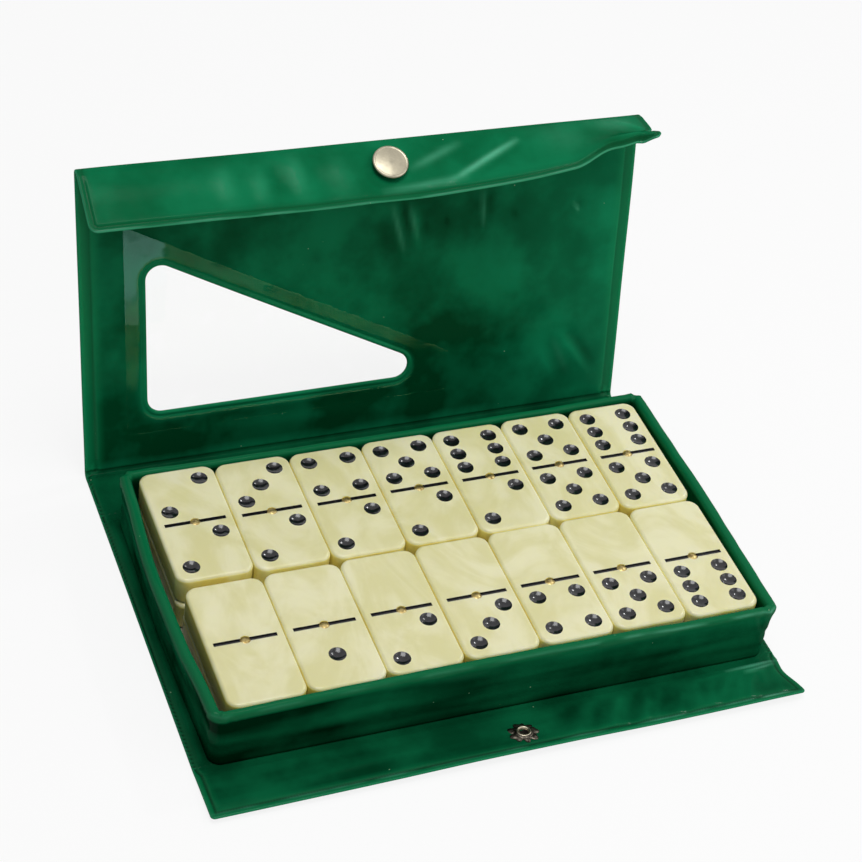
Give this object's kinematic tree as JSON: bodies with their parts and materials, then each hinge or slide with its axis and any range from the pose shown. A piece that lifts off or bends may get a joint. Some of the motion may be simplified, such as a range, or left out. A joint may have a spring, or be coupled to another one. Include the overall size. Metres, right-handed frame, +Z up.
{
  "type": "domino storage box",
  "caption": "Snap-fastened wallet case of green vinyl with a film window in its lid, a tray, and a double-six set of dominoes in two layers.",
  "frame": {"origin": "middle of the base's underside, on the table", "axes": "+X to the right along the crease lines, +Y from the front flap to the hinged back, +Z up out of the tray"},
  "size_m": [0.1944, 0.1741, 0.1103],
  "materials": {
    "cover_vinyl": "satin vinyl with a fine pebbled grain",
    "lining_vinyl": "satin vinyl",
    "card": "bare grey card",
    "window_film": "clear glossy film",
    "snap_cap": "polished nickel",
    "snap_metal": "blackened brass",
    "tile_resin": "polished ivory-yellow resin, with black ink in the pips and a bare brass pin"
  },
  "bodies": {
    "case_base": {"base_outer_skin": "cover_vinyl", "base_board": "card", "base_lining": "lining_vinyl", "tray_floor_card": "card", "tray_front_wall": "card", "tray_back_wall": "card", "tray_left_wall": "card", "tray_right_wall": "card", "tray_wrap": "cover_vinyl"},
    "spine": {"spine_outer_skin": "cover_vinyl", "spine_board": "card", "spine_lining": "lining_vinyl"},
    "lid": {"lid_outer_skin": "cover_vinyl", "lid_board": "card", "lid_lining": "lining_vinyl", "window_film": "window_film"},
    "lid_flap": {"lid_flap_outer_skin": "cover_vinyl", "lid_flap_stiffener": "card", "lid_flap_lining": "lining_vinyl", "snap_cap": "snap_cap", "snap_socket": "snap_metal"},
    "front_flap": {"front_flap_outer_skin": "cover_vinyl", "front_flap_stiffener": "card", "front_flap_lining": "lining_vinyl", "snap_stud": "snap_metal", "snap_eyelet": "snap_metal"},
    "tile_1_1": {"tile_1_1": "tile_resin"},
    "tile_0_0": {"tile_0_0": "tile_resin"},
    "tile_1_2": {"tile_1_2": "tile_resin"},
    "tile_0_1": {"tile_0_1": "tile_resin"},
    "tile_1_3": {"tile_1_3": "tile_resin"},
    "tile_0_2": {"tile_0_2": "tile_resin"},
    "tile_1_4": {"tile_1_4": "tile_resin"},
    "tile_0_3": {"tile_0_3": "tile_resin"},
    "tile_1_5": {"tile_1_5": "tile_resin"},
    "tile_0_4": {"tile_0_4": "tile_resin"},
    "tile_1_6": {"tile_1_6": "tile_resin"},
    "tile_0_5": {"tile_0_5": "tile_resin"},
    "tile_3_3": {"tile_3_3": "tile_resin"},
    "tile_0_6": {"tile_0_6": "tile_resin"},
    "tile_3_4": {"tile_3_4": "tile_resin"},
    "tile_2_2": {"tile_2_2": "tile_resin"},
    "tile_3_5": {"tile_3_5": "tile_resin"},
    "tile_2_3": {"tile_2_3": "tile_resin"},
    "tile_3_6": {"tile_3_6": "tile_resin"},
    "tile_2_4": {"tile_2_4": "tile_resin"},
    "tile_4_4": {"tile_4_4": "tile_resin"},
    "tile_2_5": {"tile_2_5": "tile_resin"},
    "tile_4_5": {"tile_4_5": "tile_resin"},
    "tile_2_6": {"tile_2_6": "tile_resin"},
    "tile_4_6": {"tile_4_6": "tile_resin"},
    "tile_5_5": {"tile_5_5": "tile_resin"},
    "tile_6_6": {"tile_6_6": "tile_resin"},
    "tile_5_6": {"tile_5_6": "tile_resin"}
  },
  "joints": [
    {"name": "spine_hinge", "type": "hinge", "parent": "case_base", "child": "spine", "pos_m": [0, 0.0552, 0.0012], "axis": [-1, 0, 0], "range_deg": [-90, 0]},
    {"name": "lid_hinge", "type": "hinge", "parent": "spine", "child": "lid", "pos_m": [0, 0.077, 0.0012], "axis": [-1, 0, 0], "range_deg": [-11.7, 78.3]},
    {"name": "lid_flap_hinge", "type": "hinge", "parent": "lid", "child": "lid_flap", "pos_m": [0, 0.09953, 0.10999], "axis": [1, 0, 0], "range_deg": [-50, 24]},
    {"name": "front_flap_hinge", "type": "hinge", "parent": "case_base", "child": "front_flap", "pos_m": [0, -0.0552, 0.0012], "axis": [1, 0, 0], "range_deg": [-82.85, 0]},
    {"name": "tile_1_1_lift", "type": "slide", "parent": "case_base", "child": "tile_1_1", "axis": [0, 0, 1], "range_m": [0, 0.04]},
    {"name": "tile_0_0_lift", "type": "slide", "parent": "tile_1_1", "child": "tile_0_0", "axis": [0, 0, 1], "range_m": [0, 0.04]},
    {"name": "tile_1_2_lift", "type": "slide", "parent": "case_base", "child": "tile_1_2", "axis": [0, 0, 1], "range_m": [0, 0.04]},
    {"name": "tile_0_1_lift", "type": "slide", "parent": "tile_1_2", "child": "tile_0_1", "axis": [0, 0, 1], "range_m": [0, 0.04]},
    {"name": "tile_1_3_lift", "type": "slide", "parent": "case_base", "child": "tile_1_3", "axis": [0, 0, 1], "range_m": [0, 0.04]},
    {"name": "tile_0_2_lift", "type": "slide", "parent": "tile_1_3", "child": "tile_0_2", "axis": [0, 0, 1], "range_m": [0, 0.04]},
    {"name": "tile_1_4_lift", "type": "slide", "parent": "case_base", "child": "tile_1_4", "axis": [0, 0, 1], "range_m": [0, 0.04]},
    {"name": "tile_0_3_lift", "type": "slide", "parent": "tile_1_4", "child": "tile_0_3", "axis": [0, 0, 1], "range_m": [0, 0.04]},
    {"name": "tile_1_5_lift", "type": "slide", "parent": "case_base", "child": "tile_1_5", "axis": [0, 0, 1], "range_m": [0, 0.04]},
    {"name": "tile_0_4_lift", "type": "slide", "parent": "tile_1_5", "child": "tile_0_4", "axis": [0, 0, 1], "range_m": [0, 0.04]},
    {"name": "tile_1_6_lift", "type": "slide", "parent": "case_base", "child": "tile_1_6", "axis": [0, 0, 1], "range_m": [0, 0.04]},
    {"name": "tile_0_5_lift", "type": "slide", "parent": "tile_1_6", "child": "tile_0_5", "axis": [0, 0, 1], "range_m": [0, 0.04]},
    {"name": "tile_3_3_lift", "type": "slide", "parent": "case_base", "child": "tile_3_3", "axis": [0, 0, 1], "range_m": [0, 0.04]},
    {"name": "tile_0_6_lift", "type": "slide", "parent": "tile_3_3", "child": "tile_0_6", "axis": [0, 0, 1], "range_m": [0, 0.04]},
    {"name": "tile_3_4_lift", "type": "slide", "parent": "case_base", "child": "tile_3_4", "axis": [0, 0, 1], "range_m": [0, 0.04]},
    {"name": "tile_2_2_lift", "type": "slide", "parent": "tile_3_4", "child": "tile_2_2", "axis": [0, 0, 1], "range_m": [0, 0.04]},
    {"name": "tile_3_5_lift", "type": "slide", "parent": "case_base", "child": "tile_3_5", "axis": [0, 0, 1], "range_m": [0, 0.04]},
    {"name": "tile_2_3_lift", "type": "slide", "parent": "tile_3_5", "child": "tile_2_3", "axis": [0, 0, 1], "range_m": [0, 0.04]},
    {"name": "tile_3_6_lift", "type": "slide", "parent": "case_base", "child": "tile_3_6", "axis": [0, 0, 1], "range_m": [0, 0.04]},
    {"name": "tile_2_4_lift", "type": "slide", "parent": "tile_3_6", "child": "tile_2_4", "axis": [0, 0, 1], "range_m": [0, 0.04]},
    {"name": "tile_4_4_lift", "type": "slide", "parent": "case_base", "child": "tile_4_4", "axis": [0, 0, 1], "range_m": [0, 0.04]},
    {"name": "tile_2_5_lift", "type": "slide", "parent": "tile_4_4", "child": "tile_2_5", "axis": [0, 0, 1], "range_m": [0, 0.04]},
    {"name": "tile_4_5_lift", "type": "slide", "parent": "case_base", "child": "tile_4_5", "axis": [0, 0, 1], "range_m": [0, 0.04]},
    {"name": "tile_2_6_lift", "type": "slide", "parent": "tile_4_5", "child": "tile_2_6", "axis": [0, 0, 1], "range_m": [0, 0.04]},
    {"name": "tile_4_6_lift", "type": "slide", "parent": "case_base", "child": "tile_4_6", "axis": [0, 0, 1], "range_m": [0, 0.04]},
    {"name": "tile_5_5_lift", "type": "slide", "parent": "tile_4_6", "child": "tile_5_5", "axis": [0, 0, 1], "range_m": [0, 0.04]},
    {"name": "tile_6_6_lift", "type": "slide", "parent": "case_base", "child": "tile_6_6", "axis": [0, 0, 1], "range_m": [0, 0.04]},
    {"name": "tile_5_6_lift", "type": "slide", "parent": "tile_6_6", "child": "tile_5_6", "axis": [0, 0, 1], "range_m": [0, 0.04]}
  ]
}
